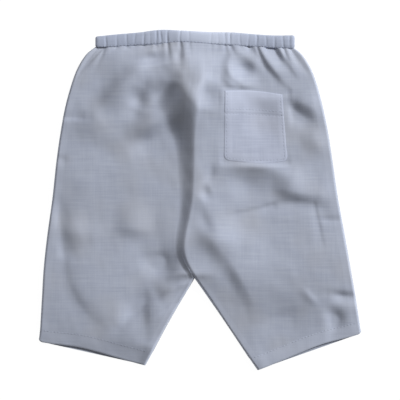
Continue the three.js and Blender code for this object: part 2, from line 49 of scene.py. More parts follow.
# Sections down each leg: the point on the side seam, the point on the inner seam, how far the back
# stands off the front, and the height and the flank of the ridge along the seat seam.
LEFT_LEG = np.array([
    (-104.5, 152.9, -4, 157, 2.2, 0, 14),
    (-114.5, 144.5, -3, 143, 4.2, 1, 40),
    (-124.5, 127, -3, 119, 4.6, 12, 34),
    (-133.5, 98, -6.5, 96, 3.8, 17, 40),
    (-139, 70, -10, 63, 3.2, 10, 23),
    (-143.6, 38, -11, 30, 3, 6, 17),
    (-147.6, 1, -12.5, -4, 3, 5.4, 13),
    (-152.6, -35, -18.5, -50, 3, 4.4, 10),
    (-156.2, -68, -5.4, -78, 3.6, 3.4, 9),
    (-158, -98, -28.5, -117, 3.6, 0, 6),
    (-159.8, -129, -47, -151.5, 2, 0, 6),
])
RIGHT_LEG = np.array([
    (94.5, 151.6, -4, 157, 2.2, 0, 14),
    (103.6, 143.2, -3, 143, 4.2, 1, 40),
    (113.4, 125.4, -3, 119, 4.6, 12, 56),
    (121.8, 97, -6.5, 96, 3.8, 17, 64),
    (128, 68, -10, 63, 3.2, 10, 56),
    (132.8, 37, -11, 30, 3, 6, 36),
    (137.6, 4, -12.5, -4, 3, 5.4, 34),
    (144, -31, -18.5, -50, 3, 4.4, 80),
    (149.9, -64, -5.4, -78, 3, 3.4, 70),
    (154.9, -93, 21.8, -117, 1.9, 0, 6),
    (159.2, -121, 49.3, -158.2, 1.1, 0, 6),
])
# The edge of each leg opening, at the side seam and at the inseam, and where the hem starts.
LEFT_OPENING = np.array([(-161, -141.5), (-54.5, -165.2)])
RIGHT_OPENING = np.array([(161, -133.4), (57.5, -170)])
# The casing's lower and upper edge across the waist.
WAIST_X = np.array([-104.5, -82, -61, -40, -19, 9, 32, 53, 74, 94.5])
WAIST_EDGES = np.array([
    (153.2, 163.5), (153.8, 165.6), (155.3, 167.4), (156.6, 170), (158, 169.3),
    (156.4, 167.8), (155.1, 167.4), (153.7, 165.7), (152.4, 164.4), (151.9, 164.6),
])
# Each leg: its name, its sections, its opening, and the side on which it lies.
LEGS = (("left", LEFT_LEG, LEFT_OPENING, -1), ("right", RIGHT_LEG, RIGHT_OPENING, 1))
WAIST_EASE = 0.12  # the share of a leg over which its top is drawn to the casing's edge
# The hem: its depth and width, how far the back's bows up, where across it bows most, from which
# share down the leg the bow grows, and how high and wide its corner at the side seam is rounded.
HEM_DEEP = 13
HEM_WIDE = 110
HEM_BOW = 3.2
HEM_BOW_AT = 0.4
HEM_BOW_FROM = 0.8
HEM_CORNER = 2.6
HEM_CORNER_WIDE = 4


def smooth(t):
    t = np.clip(t, 0, 1)
    return t * t * (3 - 2 * t)


def mix(a, b, t):
    return a + (b - a) * t


def roll(distance, radius):
    """A quarter of an ellipse: 0 at the edge, 1 from the radius inwards."""
    s = 1 - np.clip(distance / radius, 0, 1)
    return np.sqrt(1 - s * s)


def through(points, t):
    """A smooth curve through the points, read at shares t of the way along it."""
    last = len(points) - 1
    at = np.asarray(t, float) * last
    n = np.clip(np.floor(at).astype(int), 0, last - 1)
    w = (at - n)[..., None]
    before, here, there, after = (points[np.clip(n + k, 0, last)] for k in (-1, 0, 1, 2))
    leave, reach = (there - before) / 2, (after - here) / 2
    bend = (2 * here - 2 * there + leave + reach) * w
    return (bend + 3 * there - 3 * here - 2 * leave - reach) * w**2 + leave * w + here


def waist_edge(x):
    """The casing's lower and upper edge at x."""
    last = len(WAIST_X) - 1
    n = np.clip(np.searchsorted(WAIST_X, x, side="right"), 1, last)
    t = (x - WAIST_X[n - 1]) / (WAIST_X[n] - WAIST_X[n - 1])
    edges = through(WAIST_EDGES, np.clip((n - 1 + t) / last, 0, 1))
    return edges[..., 0], edges[..., 1]


def leg_row(leg, down):
    """The ends of a leg's row, on its side seam and on its inner seam, and its fullness there."""
    last = len(leg) - 1
    whole = through(leg, down)
    at = down * last
    seat = through(leg[:CROTCH + 1], np.clip(at / CROTCH, 0, 1))
    inseam = through(leg[CROTCH:], np.clip((at - CROTCH) / (last - CROTCH), 0, 1))
    inner = np.where((at <= CROTCH)[..., None], seat, inseam)
    return whole[..., 0:2], inner[..., 2:4], whole[..., 4], np.maximum(whole[..., 5], 0), whole[..., 6]


def hem_bow(across):
    """How far the back's hem bows up, so that the inside of the front's hem shows below it."""
    s = np.where(across < HEM_BOW_AT, across / HEM_BOW_AT, (1 - across) / (1 - HEM_BOW_AT))
    return HEM_BOW * smooth(s)


def leg_plan(leg, opening, across, down, bowed):
    """Plan of a point on a leg. It is the hem's stitch line at down 1 and the opening at down 2."""
    on_panel = np.minimum(down, 1)
    outer, inner = leg_row(leg, on_panel)[:2]
    point = mix(outer, inner, across[..., None])
    top = mix(leg[0, 0:2], leg[0, 2:4], across[..., None])
    to_casing = waist_edge(top[..., 0])[0] - GAP - top[..., 1]
    y = point[..., 1] + to_casing * (1 - smooth(on_panel / WAIST_EASE))
    edge = mix(opening[0], opening[1], across[..., None])
    in_hem = np.clip(down - 1, 0, 1)
    x = mix(point[..., 0], edge[..., 0], in_hem)
    rounded = 1 - roll(across * HEM_WIDE, HEM_CORNER_WIDE)
    y = mix(y, edge[..., 1], in_hem) + HEM_CORNER * rounded * smooth(3 * in_hem - 2)
    if bowed:
        y = y + hem_bow(across) * smooth((down - HEM_BOW_FROM) / (1 - HEM_BOW_FROM))
    return x, y


def cloth_sheet(name, columns, rows, place, thick):
    """Lays out a flat grid of cloth. place() turns shares across and down into x, y and z, the
    place on the cut cloth, and how far the cloth is drawn paler there, where it is doubled and where a
    highlight is painted. The wall grows downwards."""
    grid = bmesh.new()
    bmesh.ops.create_grid(grid, x_segments=columns, y_segments=rows, size=0.5)
    for edge in grid.edges:
        edge.smooth = not edge.is_boundary
    mesh = bpy.data.meshes.new(name)
    grid.to_mesh(mesh)
    grid.free()
    flat = np.empty(len(mesh.vertices) * 3)
    mesh.vertices.foreach_get("co", flat)
    flat = flat.reshape(-1, 3)
    x, y, z, cut_x, cut_y, doubled_and_highlight = place(flat[:, 0] + 0.5, 0.5 - flat[:, 1])
    mesh.vertices.foreach_set("co", (np.stack([x, y, z], 1) * MM).ravel())
    corner = np.empty(len(mesh.loops), int)
    mesh.loops.foreach_get("vertex_index", corner)
    cut = mesh.uv_layers.new(name="cut")
    cut.uv.foreach_set("vector", (np.stack([cut_x, cut_y], 1)[corner] * MM).ravel())
    # This share makes the colour paler for doubled cloth, and in the casing's middle it paints a highlight.
    mesh.attributes.new("doubled_and_highlight", "FLOAT", "POINT").data.foreach_set("value", doubled_and_highlight + 0 * x)
    mesh.polygons.foreach_set("use_smooth", np.ones(len(mesh.polygons), bool))
    mesh.update()
    piece = bpy.data.objects.new(name, mesh)
    bpy.context.scene.collection.objects.link(piece)
    if thick:
        wall = piece.modifiers.new("cloth", "SOLIDIFY")
        wall.thickness = thick * MM
        wall.offset = -1
    return piece


def front_leg(leg, opening, side):
    def place(u, v):
        across = u if side < 0 else 1 - u
        x, y = leg_plan(leg, opening, across, v, False)
        x = x - side * FRONT_INSET
        z = np.full_like(x, FABRIC)
        return x, y, z, x, y, 0.0
    return place


def linear(code):
    """An sRGB hex colour as linear light."""
    parts = [int(code[n:n + 2], 16) / 255 for n in (1, 3, 5)]
    return tuple(c / 12.92 if c <= 0.04045 else ((c + 0.055) / 1.055) ** 2.4 for c in parts) + (1.0,)


def add(tree, kind, inputs, **settings):
    """Adds a node, with its settings, and its inputs by name or number: values or other sockets."""
    node = tree.nodes.new(kind)
    for key, value in settings.items():
        setattr(node, key, value)
    for key, value in inputs.items():
        if isinstance(value, bpy.types.NodeSocket):
            tree.links.new(value, node.inputs[key])
        else:
            node.inputs[key].default_value = value
    return node


def blended(tree, share, first, second):
    """A colour that goes from the first to the second as the share goes from 0 to 1."""
    return add(tree, "ShaderNodeMix", {0: share, 6: first, 7: second}, data_type="RGBA").outputs[2]


# Plain-woven linen, garment-washed: matt, with a faint dry sheen. Slubs, the thick places of the
# yarn, streak it both ways. Where two layers lie together less shows through, so it looks paler; in the
# casing's middle the paler colour is a painted highlight.
SLUB_LONG = 34
SLUB_WIDE = 1.5
SLUBS_ACROSS = 0.62  # how strong the slubs of the second way are beside those of the first
THREAD = 0.55
CLOUD = 46  # how far apart the faded places lie
RELIEF = 0.08
WEAVE_IN_RELIEF = 0.25


def linen(name, pale, deep, warm, doubled_and_highlight_pale):
    """Linen of a pale and a deep yarn, faded to warm in places, and paler where it is doubled and where a
    highlight is painted.
    """
    material = bpy.data.materials.new(name)
    material.use_nodes = True
    tree = material.node_tree
    tree.nodes.clear()
    cut = add(tree, "ShaderNodeUVMap", {}, uv_map="cut").outputs["UV"]
    streaks = []
    for scale in ((1 / SLUB_LONG, 1 / SLUB_WIDE), (1 / SLUB_WIDE, 1 / SLUB_LONG)):
        along = add(tree, "ShaderNodeMapping", {
            "Vector": cut, "Scale": (scale[0] / MM, scale[1] / MM, 1),
        })
        streaks.append(add(tree, "ShaderNodeTexNoise", {
            "Vector": along.outputs[0], "Scale": 1.0, "Detail": 2.0, "Roughness": 0.55,
        }, noise_dimensions="2D").outputs[0])
    both = add(tree, "ShaderNodeMath", {
        0: streaks[1], 1: SLUBS_ACROSS, 2: streaks[0],
    }, operation="MULTIPLY_ADD").outputs[0]
    slub = add(tree, "ShaderNodeMapRange", {
        "Value": both, "From Min": 0.55, "From Max": 1.07, "To Min": 0.0, "To Max": 1.0,
    }).outputs[0]
    yarn = blended(tree, slub, linear(deep), linear(pale))
    cloud = add(tree, "ShaderNodeTexNoise", {
        "Vector": cut, "Scale": 1 / (CLOUD * MM), "Detail": 1.0,
    }, noise_dimensions="2D").outputs[0]
    tint = add(tree, "ShaderNodeMapRange", {
        "Value": cloud, "From Min": 0.46, "From Max": 0.72, "To Min": 0.0, "To Max": 0.4,
    }).outputs[0]
    dyed = blended(tree, tint, yarn, linear(warm))
    doubled_and_highlight_share = add(tree, "ShaderNodeAttribute", {}, attribute_name="doubled_and_highlight").outputs["Fac"]
    # The paler colour stands for a doubled layer and, in the casing's middle, for a painted highlight.
    shown = blended(tree, doubled_and_highlight_share, dyed, linear(doubled_and_highlight_pale))

    apart = add(tree, "ShaderNodeSeparateXYZ", {0: cut}).outputs
    waves = []
    for axis in (0, 1):
        turn = add(tree, "ShaderNodeMath", {
            0: apart[axis], 1: np.pi / (THREAD * MM),
        }, operation="MULTIPLY")
        waves.append(add(tree, "ShaderNodeMath", {0: turn.outputs[0]}, operation="SINE").outputs[0])
    weave = add(tree, "ShaderNodeMath", {0: waves[0], 1: waves[1]}, operation="MULTIPLY").outputs[0]
    relief = add(tree, "ShaderNodeMath", {
        0: weave, 1: WEAVE_IN_RELIEF, 2: slub,
    }, operation="MULTIPLY_ADD").outputs[0]
    bump = add(tree, "ShaderNodeBump", {
        "Height": relief, "Strength": 0.4, "Distance": RELIEF * MM,
    }).outputs[0]
    cloth = add(tree, "ShaderNodeBsdfPrincipled", {
        "Base Color": shown, "Roughness": 0.85, "Specular IOR Level": 0.25, "Normal": bump,
        "Sheen Weight": 0.12, "Sheen Roughness": 0.6, "Sheen Tint": linear("#dfe4f0"),
    })
    add(tree, "ShaderNodeOutputMaterial", {0: cloth.outputs[0]})
    return material


leg_linen = linen("garment_washed_linen", "#b0b6c5", "#a6acbd", "#adafb7", "#b6bccc")
for hand, leg, opening, side in LEGS:
    name = "front_" + hand
    panel = cloth_sheet(name + "_panel", 40, 90, front_leg(leg, opening, side), FABRIC)
    panel.data.materials.append(leg_linen)
    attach(panel, "root")
    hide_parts(name)

# The two back panels are the upper layer. They meet in the seat seam, which stands up as a ridge,
# and come down on the fronts at the side seams and inseams. Wear and the way that they were laid
# out leave them in soft folds, with finer creases that fan out from the casing and the crotch.
REST = 1.3  # height at which the solid of the back lies on that of the front
CLOTH = 1.2  # thickness of that solid, whose upper face the shell follows
HEM_CLOTH = 1.6  # the same in the hem, where the cloth is folded
HEM_PUFF = 0.35  # how far the back stands off the front at the opening
SHALLOW = 1.0  # the deepest folds level off between this height and none
# How the back rises from an edge: the radius of the turn there, the length of the slope after it,
# and the turn's share of the rise.
SIDE_RISE = (2.4, 40, 0.88)
INSEAM_RISE = (2.5, 26, 0.65)
# The seat seam's ridge: how far its crest lies from the seam, on the right back, how much of that
# is taken in towards the crotch, and what rounds its tip.
CREST_FROM_SEAM = 5.4
CREST_TAKEN_IN = 0.4
CREST_TIP = (0.006, 0.077)
# The seam allowances inside show as paler strips along the side seam and the inner seam.
SEAM_ALLOWANCE = 9
INNER_ALLOWANCE = 8
GATHER_WIDTH = 1.7
GATHER_DEEP = 1.1
# Pleats of the waist: where each is pinched, how deep, its reach down the seat, its sideways lean.
GATHERS = np.array([
    (-94, 1, 34, -16), (-83, 0.9, 6, -2), (-73, 1, 6, 1), (-65, 0.6, 4, 0), (-56, 1, 6, 1),
    (-50, 0.7, 8, 0), (-43.5, 1.3, 14, 1), (-39, 1, 14, 0), (-32.5, 1.5, 30, 3), (-20, 1.2, 26, 3),
    (-11, 0.5, 22, 2), (11, 0.35, 14, 0), (18, 0.35, 12, 0), (25, 0.9, 18, 2), (30, 1.1, 16, 6),
    (40, 0.6, 10, 4), (48.5, 0.8, 12, 2), (56.7, 1.5, 30, 12), (66, 0.7, 14, 5), (74.5, 1, 18, 8),
    (83, 1.5, 26, 9), (89.5, 0.9, 20, 10),
])
# Folds: the line that each follows, its height at the start, middle and end (or its depth where
# negative), and its half-widths at the start and end, left and right of the way that it runs.
FOLDS = [
    # The left seat and hip
    ("plateau at the waist", [(-56, 119), (-32, 121), (-8, 114)], (2, 7, 2), (18, 18), (11, 11)),
    ("seat ridge, left", [(-44, 142), (-68, 121), (-103, 85)], (6, 8, 2.5), (15, 22), (11, 11)),
    ("hip hollow, inner", [(-58, 114), (-61, 102), (-66, 90)], (-2, -4.6, -1.4), (9, 9), (10, 10)),
    ("hip hollow, left", [(-84, 132), (-100, 108), (-116, 88)], (-0.5, -2, -0.8), (12, 12), (16, 16)),
    ("seat mound, small", [(-49, 112), (-54, 100), (-52, 90)], (1, 2.4, 1), (10, 10), (8, 8)),
    ("ridge over the seat hollow", [(-80, 60), (-52, 74), (-14, 103)], (1.5, 7.6, 6.2), (14, 12), (10, 13)),
    ("low seat hollow", [(-76, 52), (-56, 57), (-34, 72)], (0, -3.6, -3), (11, 11), (14, 14)),
    ("hip mound, left", [(-108, 100), (-110, 80), (-112, 52)], (0.4, 2.6, 0.3), (22, 22), (24, 24)),
    ("hip crease, left", [(-138, 82), (-128, 82.5), (-112, 82)], (-1.6, -1.6, -0.4), (5, 8), (2.5, 3)),
    ("hip mark, left", [(-146, 42), (-138, 41), (-130, 40)], (-0.8, -1, 0), (3, 4), (5, 6)),
    ("gather hollow", [(-44, 151), (-43, 143), (-40, 133)], (-2, -7, -2.4), (11, 11), (18, 16)),
    ("second gather hollow", [(-22, 152), (-21, 144), (-20, 134)], (-1, -2.6, -1), (4, 4), (5, 5)),
    ("rise below the casing", [(-98, 136), (-82, 140), (-64, 143)], (0.5, 1.4, 0.5), (12, 12), (10, 10)),
    ("side wrinkle, left", [(-96, 153), (-106, 143), (-119, 128)], (-2, -1.6, -0.6), (1.8, 2.4), (4, 5)),
    ("second side wrinkle", [(-102, 152), (-112, 140), (-122, 124)], (-1.2, -1, -0.4), (1.6, 2), (3, 4)),
    # The left leg
    ("thigh pillow", [(-110, 50), (-114, 18), (-113, -14)], (0, 1, 0), (15, 15), (24, 24)),
    ("thigh ridge", [(-62, 48), (-66, 18), (-68, -6)], (0, 0.8, 0), (14, 14), (30, 30)),
    ("thigh shelf", [(-90, -27), (-66, -27), (-44, -30)], (0, 3.6, 1.5), (18, 18), (9, 9)),
    ("outer trough, left", [(-140, 12), (-139, -20), (-135, -50)], (0, -2.2, -2), (9, 9), (6, 6)),
    ("outer shelf, left", [(-146, -30), (-130, -31), (-108, -34)], (1, 3.2, 1), (12, 12), (10, 10)),
    ("side puff, left", [(-143, 76), (-146, 38), (-148, -4)], (0.2, 1.6, 0.2), (38, 38), (4, 4)),
    ("inner trough, left", [(-44, 2), (-43, -26), (-38, -58)], (0, -1.6, -1.2), (10, 10), (12, 12)),
    ("leg pillow, left", [(-121, -54), (-108, -96), (-80, -120)], (1, 2, 1.4), (36, 36), (15, 16)),
    ("leg trough, left", [(-136, -58), (-123, -103), (-92, -132)], (-0.5, -1, -0.4), (5, 6), (10, 11)),
    ("leg crease, left", [(-80, -128), (-62, -106), (-44, -97)], (-1.2, -4.4, -3.2), (10, 12), (6, 8)),
    ("inner dimple, left", [(-57, -100), (-57, -116), (-55, -134)], (-1.6, -2.2, -1.4), (6.5, 6.5), (12, 12)),
    ("hem slope, left", [(-146, -128), (-104, -134), (-60, -142)], (0.6, 1.8, 2.4), (24, 24), (12, 12)),
    ("hem corner, left", [(-54, -168), (-46, -150), (-38, -134)], (5, 5, 0.5), (8, 8), (16, 14)),
    # Left of the crotch
    ("crotch shade, left", [(-62, -50), (-44, -50), (-26, -48)], (0, 2.6, 1), (12, 12), (9, 9)),
    ("crotch hollow, left", [(-52, -42), (-44, -58), (-30, -78)], (-1.5, -4, -2.5), (12, 12), (16, 16)),
    ("crotch rise, left", [(-28, -54), (-14, -66), (-3, -80)], (0.2, 3.4, 3.2), (24, 24), (28, 26)),
    ("crotch wrinkle", [(-12, -83), (-24, -87), (-40, -96)], (1.2, 1.4, 0), (3, 3), (3, 3)),
    ("second crotch wrinkle", [(-14, -74), (-24, -75), (-34, -82)], (0.6, 0.8, 0), (3, 3.4), (3, 3.6)),
    ("inseam wrinkle", [(-22, -102), (-33, -109), (-44, -116)], (-1.2, -1, 0), (2.6, 2.6), (2.6, 2.6)),
    ("inseam ridge, left", [(-14, -90), (-31, -118), (-46, -146)], (3.2, 6.4, 3.2), (7, 7), (24, 20)),
    # The right seat, waist and hip
    ("plateau, right", [(-14, 155), (-15, 138), (-14, 121)], (3.4, 6, 5), (34, 34), (17, 12)),
    ("hollow right of the seam", [(12, 120), (5, 105), (4, 88)], (-2, -6.6, -2), (16, 14), (6, 6)),
    ("pillow rim", [(36, 152), (30, 128), (44, 116)], (0.8, 4.2, 1.8), (10, 12), (6, 6)),
    ("pillow foot", [(22, 128), (28, 119), (42, 115)], (0.6, 3, 0.8), (10, 10), (5, 5)),
    ("dimple over the pocket", [(28, 134), (41, 130), (56, 130)], (-1.4, -5, -1.6), (9, 9), (9, 9)),
    ("seat ridge, right", [(44, 146), (54, 138), (66, 126)], (1.4, 3.2, 1.4), (9, 9), (7, 7)),
    ("waist fold, valley", [(50, 153), (63, 133), (82, 114)], (-1.6, -1.8, -0.4), (4, 4), (8, 8)),
    ("waist fold, crest", [(57, 155), (73, 133), (90, 111)], (2, 2.4, 0.4), (9, 10), (4, 4.5)),
    ("second waist fold", [(70, 153), (77, 142), (87, 129)], (-3, -2.4, 0), (4, 4.5), (6, 6)),
    ("side wrinkle, right", [(93, 148), (100, 136), (112, 122)], (-1, -0.8, 0), (3, 3.5), (3, 3.5)),
    ("side wrinkle, crest", [(80, 152), (90, 136), (103, 118)], (1.6, 1.8, 0), (6, 6), (3.4, 3.4)),
    ("hip ridge, right", [(90, 100), (106, 97), (122, 82)], (1, 3.6, 0.6), (14, 12), (7, 8)),
    ("hip trough, right", [(84, 90), (100, 84), (118, 72)], (-1.8, -2.6, -0.4), (6, 7), (10, 10)),
    ("hip shade, right", [(98, 62), (116, 58), (132, 52)], (0, 2.6, 0.6), (14, 14), (11, 11)),
    # Below the pocket
    ("ridge under the pocket", [(28, 37), (56, 37), (90, 22)], (0.5, 5, 2.4), (12, 12), (10, 11)),
    ("trough under the pocket", [(24, 22), (48, 14), (70, 8)], (-0.6, -3, -0.6), (10, 10), (14, 14)),
    ("shelf to the side", [(68, 15), (94, 9), (118, 6)], (0, 4.4, 2.6), (16, 16), (8, 7)),
    ("trough to the side", [(68, -7), (92, -3), (122, -8)], (-1, -2, -0.8), (4.5, 4.5), (9, 8)),
    ("long crease", [(72, -5), (44, -12), (20, -16)], (-1.2, -1.4, 0), (6, 6), (1.8, 1.8)),
    ("side crease", [(116, -20), (130, -20), (143, -20)], (0, -1.4, -1), (3.4, 3.4), (3.4, 3.4)),
    ("side line, right", [(114, -4), (118, -22), (122, -42)], (-0.5, -0.7, -0.4), (1.8, 1.8), (5, 5)),
    ("curl by the seam", [(13, 38), (10, 25), (0, 16)], (0, -1.8, 0), (5, 5), (4, 4)),
    ("knot by the seam", [(10, 14), (4, 6), (-2, 2)], (0, -2, 0), (6, 6), (5, 5)),
    # The right leg
    ("thigh pillow, right", [(4, 20), (6, -8), (16, -30)], (1.5, 3.4, 1.5), (40, 40), (10, 10)),
    ("curve to the crotch", [(1, 0), (5, -22), (18, -40)], (0, -1.8, 0), (6, 6), (6, 6)),
    ("crotch shelf", [(-12, -42), (18, -40), (46, -44)], (2.4, 6.6, 1.5), (16, 16), (20, 13)),
    ("thigh shoulder", [(12, -38), (38, -71), (59, -116)], (2.5, 4, 0.8), (30, 28), (11, 8)),
    ("knee ridge, right", [(44, -76), (84, -84), (126, -94)], (2, 3, 1.6), (30, 30), (22, 22)),
    ("knee trough, right", [(50, -122), (78, -120), (110, -112)], (-0.6, -2.8, -0.6), (10, 10), (14, 14)),
    ("knee line, right", [(98, -84), (109, -96), (120, -108)], (0, 1.2, 0), (3.4, 3.4), (5, 5)),
    ("side streak, right", [(128, -94), (142, -96), (156, -97)], (-0.8, -3.8, -2.4), (4.4, 4.4), (6, 6)),
    ("side dimple, right", [(126, -104), (134, -114), (134, -134)], (-0.7, -4.4, -1.2), (8, 8), (8, 8)),
    ("side puff, right", [(138, -14), (147, -56), (154, -104)], (0.5, 5, 3), (6, 6), (60, 56)),
    ("hem lift, right", [(64, -168), (108, -156), (154, -142)], (2.4, 3, 1.4), (14, 14), (6, 6)),
    ("hem corner, right", [(38, -146), (51, -158), (60, -170)], (0.6, 2.4, 2.4), (14, 12), (4, 4)),
]
# Folds in the pocket and against its edge, where the calm round the pocket doesn't stop them.
POCKET_FOLDS = [
    ("hip dimple, right", [(88, 106), (91, 95), (95, 84)], (-0.5, -2.6, -0.5), (7, 7), (8, 8)),
    ("pocket mouth, ridge", [(40, 103), (62, 101), (86, 99)], (0, 1.2, 1), (6, 6), (12, 12)),
    ("pocket mouth, hollow", [(42, 87), (62, 84), (86, 83)], (0, -2.8, -0.8), (12, 12), (22, 22)),
    ("pocket edge, ridge", [(30, 108), (29, 75), (29, 42)], (1, 1.4, 3), (34, 34), (24, 24)),
]
POCKET_BOX = (24, 87.2, 38.6, 108.6)  # its west, east, south and north side
POCKET_CALM = 6  # the pocket stiffens the seat, so the other folds die out over this distance


def fold_height(folds, x, y):
    """Height that the folds add: a soft bank on each side of a bowed line, with round ends."""
    total = np.zeros_like(x)
    for _, path, up, left, right in folds:
        (x0, y0), (xm, ym), (x1, y1) = path
        dx, dy = x1 - x0, y1 - y0
        length = np.hypot(dx, dy)
        bow = ((ym - y0) * dx - (xm - x0) * dy) / length
        along = ((x - x0) * dx + (y - y0) * dy) / length
        t = np.clip(along / length, 0, 1)
        side = ((y - y0) * dx - (x - x0) * dy) / length - bow * 4 * t * (1 - t)
        wide_left, wide_right = mix(*left, t), mix(*right, t)
        past = (along - t * length) * 2 / (wide_left + wide_right)
        first, second = mix(up[0], up[1], smooth(2 * t)), mix(up[1], up[2], smooth(2 * t - 1))
        off = side / np.where(side > 0, wide_left, wide_right)
        total += np.where(t < 0.5, first, second) * np.exp(-off * off - past * past)
    return total


def gather_height(x, below):
    """Height that the waist's pleats take from the seat, a distance below the casing."""
    total = np.zeros_like(x)
    for at, deep, reach, lean in GATHERS:
        run = np.clip(below / reach, 0, 1)
        off = (x - at - lean * run) / (GATHER_WIDTH * (1 + 1.5 * run))
        total -= GATHER_DEEP * deep * (1 - smooth(run)) * np.exp(-off * off)
    return total


def away_from_pocket(x, y):
    """0 on the pocket and 1 beyond the calm round it."""
    west, east, south, north = POCKET_BOX
    dx = np.maximum(np.maximum(west - x, x - east), 0)
    dy = np.maximum(np.maximum(south - y, y - north), 0)
    return smooth(np.hypot(dx, dy) / POCKET_CALM)


SWELL_HEIGHT = 0.0011  # as a share of the wave's length
SWELL_WANDER = 23
# Small uneven swells all over the cloth, as washing leaves them: wave length, bearing and phase.
swells = np.random.default_rng(11).uniform((9, 0, 0), (30, np.pi, 2 * np.pi), (26, 3))


def crumple(x, y):
    """Height that the swells add."""
    total = np.zeros_like(x)
    for length, bearing, phase in swells:
        run = x * np.cos(bearing) + y * np.sin(bearing)
        total += length * np.sin(2 * np.pi * run / length + phase + np.sin(run / SWELL_WANDER + phase))
    return total * SWELL_HEIGHT


def risen(distance, turn, slope, turned):
    """How far the back has risen at a distance from an edge where it meets the front."""
    return turned * roll(distance, turn) + (1 - turned) * smooth(distance / slope)


def back_top(leg, opening, across, down, side):
    """Height of the back's upper face at shares across and down a leg."""
    on_panel = np.minimum(down, 1)
    row = on_panel * (len(leg) - 1)
    outer, inner, puff, ridge, flank = leg_row(leg, on_panel)
    x, y = leg_plan(leg, opening, across, down, True)
    in_hem = np.clip(down - 1, 0, 1)
    width = np.hypot(*np.moveaxis(outer - inner, -1, 0))
    from_side, from_inner = across * width, (1 - across) * width
    below = np.maximum(waist_edge(x)[0] - y, 0)
    folded = fold_height(FOLDS, x, y) * away_from_pocket(x, y) + fold_height(POCKET_FOLDS, x, y)
    wanted = mix(puff, HEM_PUFF, in_hem) + folded + gather_height(x, below) + crumple(x, y)
    settled = np.where(wanted > SHALLOW, wanted, SHALLOW * np.exp(np.minimum(wanted / SHALLOW, 1) - 1))

    # The ridge falls off quickly left of its crest. Its right flank is wider, and rounder the
    # higher it lies on the seat.
    off = from_inner - side * CREST_FROM_SEAM * (1 - CREST_TAKEN_IN * smooth((row - CROTCH + 3) / 3))
    is_right_flank = (side > 0) & (off > 0)
    off = off / np.where(is_right_flank, flank, through(LEFT_LEG, on_panel)[..., 6])
    steep = (1 - np.clip(np.sqrt(off * off + CREST_TIP[0]) - CREST_TIP[1], 0, 1)) ** 2
    rounded = 1 - smooth(np.abs(off))
    crest = mix(steep, rounded, np.where(is_right_flank, 0.7 * smooth((y - 30) / 70), 0.6))

    # The back comes down on the front along the side seam and, below the crotch, along the inseam.
    past_seat = smooth((row - CROTCH + 0.3) / 0.5)
    rise = risen(from_side, *SIDE_RISE) * mix(1, risen(from_inner, *INSEAM_RISE), past_seat)
    return REST + rise * (settled + ridge * crest) + mix(CLOTH, HEM_CLOTH, smooth(in_hem * 1.5))


# The share of a back's rows above its hem, and how far its upper face rolls down at the side seam
# and at the fold of the hem.
ROWS_ABOVE_HEM = 0.92
SIDE_TUCK = 0.4
FOLD_TUCK = 0.6


def back_leg(leg, opening, side):
    def place(u, v):
        # The columns crowd towards both seams, and the last rows are the hem.
        t = u - 0.5 * np.sin(2 * np.pi * u) / (2 * np.pi)
        across = t if side < 0 else 1 - t
        in_rows = (v - ROWS_ABOVE_HEM) / (1 - ROWS_ABOVE_HEM)
        down = np.where(v < ROWS_ABOVE_HEM, v / ROWS_ABOVE_HEM, 1 + in_rows)
        x, y = leg_plan(leg, opening, across, down, True)
        z = back_top(leg, opening, across, down, side)
        outer, inner = leg_row(leg, np.minimum(down, 1))[:2]
        width = np.hypot(*np.moveaxis(outer - inner, -1, 0))
        from_side, from_inner = across * width, (1 - across) * width
        # At the inner edge the right back, which overlaps the left, rolls down a little further.
        is_seat = down * (len(leg) - 1) <= CROTCH
        inner_tuck = np.where(is_seat, 0.02 + 0.02 * side, 0.9 + 0.1 * side)
        z = z - SIDE_TUCK * (1 - roll(from_side, 1))
        z = z - inner_tuck * (1 - roll(from_inner, 1.8 + 0.2 * side))
        z = z - FOLD_TUCK * (1 - roll((2 - down) * HEM_DEEP, 1.5))
        by_side = 1 - smooth(from_side - SEAM_ALLOWANCE + 1)
        by_inner = 1 - smooth(from_inner - INNER_ALLOWANCE + 1)
        doubled_and_highlight = np.maximum(0.4 * np.maximum(by_side, by_inner), 0.5 * smooth((down - 0.99) / 0.03))
        return x, y, z, x, y, doubled_and_highlight
    return place


for hand, leg, opening, side in LEGS:
    name = "back_" + hand
    panel = cloth_sheet(name + "_panel", 124, 220, back_leg(leg, opening, side), FABRIC)
    panel.data.materials.append(leg_linen)
    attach(panel, "root")
    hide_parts(name)

# Each leg opening has a turned-up hem, folded twice and stitched down. The leg's own cloth runs on
# to the fold; the piece here is the turned part inside it, which the slack mouth of the leg shows.
TURNING_THICK = 0.5
TURNING_GAP = 0.15  # between the leg's own cloth and the turned part under it
TURNING_ROUND = 1.6
TURNING_SHORT = 0.25  # how far it stops short of the opening


def turned_hem(leg, opening, side, is_back):
    def place(u, v):
        across = u if side < 0 else 1 - u
        down = 1 + v
        x, y = leg_plan(leg, opening, across, down, is_back)
        if is_back:
            z = back_top(leg, opening, across, down, side) - FABRIC - TURNING_GAP
            z = z - 1.2 * (1 - roll(across * HEM_WIDE, TURNING_ROUND))
            z = z - 0.8 * (1 - roll((1 - across) * HEM_WIDE, TURNING_ROUND))
            z = np.maximum(z, REST + 0.5)
        else:
            z = np.full_like(x, FABRIC + 0.55)
        return x, y + TURNING_SHORT, z, x, y, 0.8
    return place


hem_linen = linen("turned_linen_hem", "#b2b8c7", "#a8aebf", "#b0b2b8", "#b5bbca")
for layer in ("back", "front"):
    for hand, leg, opening, side in LEGS:
        name = "hem_%s_%s" % (layer, hand)
        place_hem = turned_hem(leg, opening, side, layer == "back")
        hem = cloth_sheet(name + "_turning", 90, 10, place_hem, TURNING_THICK)
        hem.data.materials.append(hem_linen)
        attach(hem, "root")
        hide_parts(name)

